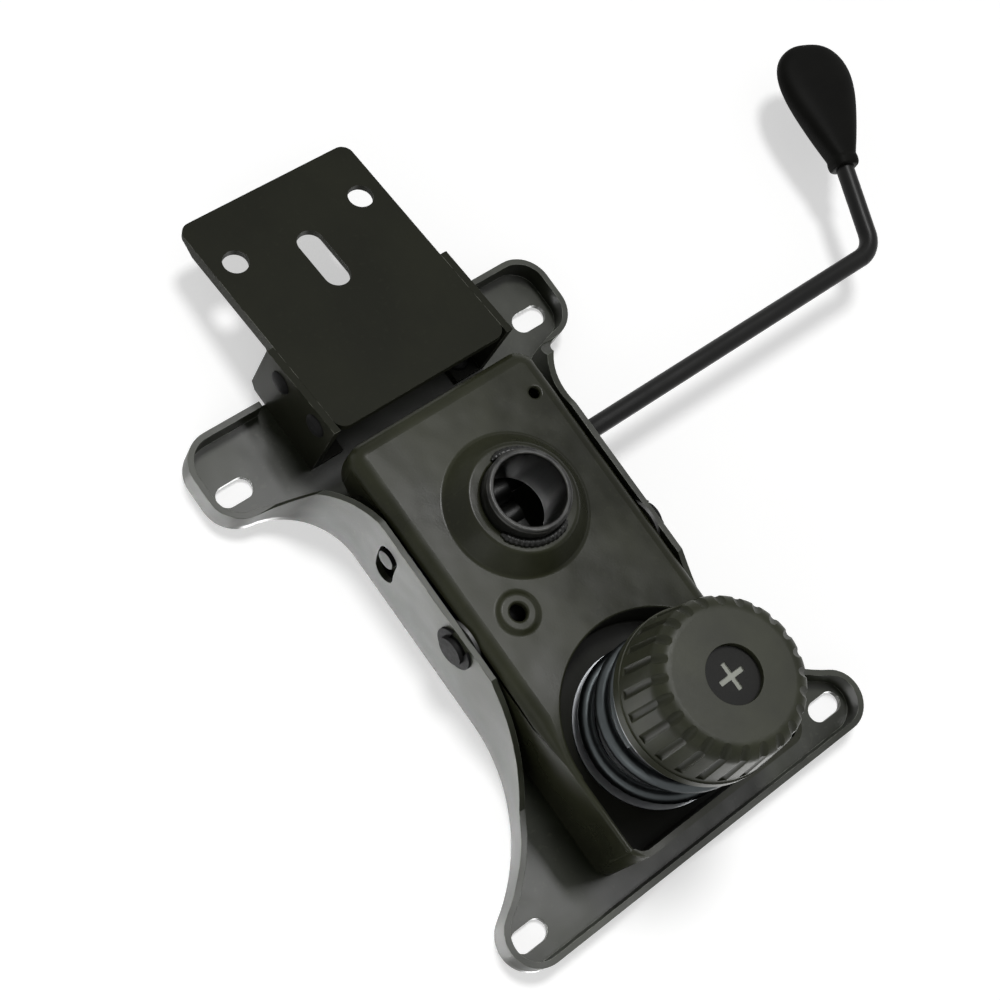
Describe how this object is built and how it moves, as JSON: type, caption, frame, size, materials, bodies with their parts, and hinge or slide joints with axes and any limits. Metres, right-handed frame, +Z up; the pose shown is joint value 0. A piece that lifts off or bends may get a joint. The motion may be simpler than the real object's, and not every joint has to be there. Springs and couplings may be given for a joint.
{
  "type": "office chair tilt mechanism",
  "caption": "Steel tilt mechanism for an office chair: seat plate on a sprung pivot, gas lift socket, tension knob, height lever and back bar bracket.",
  "frame": {"origin": "on the gas lift axis, at the mouth of the tapered socket", "axes": "+Z up towards the seat along the gas lift axis, -Y to the front of the chair, -X to the sitter's right, where the lever is"},
  "size_m": [0.3645, 0.3087, 0.1015],
  "materials": {
    "black_steel": "satin black paint",
    "zinc_steel": "zinc plate",
    "spring_steel": "oiled spring steel",
    "nylon": "moulded nylon",
    "black_nylon": "moulded nylon",
    "knob_plastic": "moulded, fine grain",
    "handle_plastic": "moulded, fine grain",
    "bumper_rubber": "moulded rubber"
  },
  "bodies": {
    "housing": {"housing_pan": "black_steel", "gas_lift_bush": "black_steel", "bush_brace": "black_steel", "pivot_bushes": "nylon", "lever_bushes": "nylon", "upper_spring_seat": "zinc_steel", "tension_spring": "spring_steel", "front_bumpers": "bumper_rubber", "rear_bumpers": "bumper_rubber"},
    "seat_frame": {"seat_plate": "black_steel", "bracket_plate": "black_steel", "bracket_cheeks": "black_steel", "cheek_rivets": "black_steel", "plate_rivets": "black_steel", "nut_saddle": "black_steel", "saddle_rivets": "black_steel", "pivot_pin": "black_steel", "pivot_clips": "black_steel", "thrust_washers": "black_nylon"},
    "nut_carrier": {"rocker_nut": "zinc_steel"},
    "spring_carrier": {"lower_spring_seat": "zinc_steel", "knob_washer": "nylon"},
    "knob": {"tension_knob": "knob_plastic", "tension_bolt": "zinc_steel", "knob_cap": "knob_plastic"},
    "lever": {"lever_rod": "black_steel", "lever_handle": "handle_plastic", "lever_tongue": "zinc_steel", "lever_collars": "zinc_steel"}
  },
  "joints": [
    {"name": "tilt", "type": "hinge", "parent": "housing", "child": "seat_frame", "pos_m": [0, -0.031, 0.029], "axis": [-1, 0, 0], "range_deg": [0, 12], "stiffness_Nm_per_rad": 338, "springref_deg": -8.82, "deforming": ["tension_spring"]},
    {"name": "tension_lift", "type": "slide", "parent": "housing", "child": "nut_carrier", "axis": [0, 0, 1], "range_m": [0, 0.0147], "deforming": ["tension_spring"]},
    {"name": "knob_travel", "type": "slide", "parent": "nut_carrier", "child": "spring_carrier", "axis": [0, 0, 1], "range_m": [0, 0.00526], "deforming": ["tension_spring"]},
    {"name": "knob_turn", "type": "hinge", "parent": "spring_carrier", "child": "knob", "pos_m": [0, -0.097, 0], "axis": [0, 0, 1], "range_deg": [0, 1260], "deforming": ["tension_spring"]},
    {"name": "lever_lift", "type": "hinge", "parent": "housing", "child": "lever", "pos_m": [0, 0.011, 0.033], "axis": [1, 0, 0], "range_deg": [0, 12]}
  ],
  "couplings": [
    {"joint": "tension_lift", "follows": "tilt", "m_per_rad": 0.0694},
    {"joint": "knob_travel", "follows": "knob_turn", "m_per_rad": 0.00023873}
  ]
}
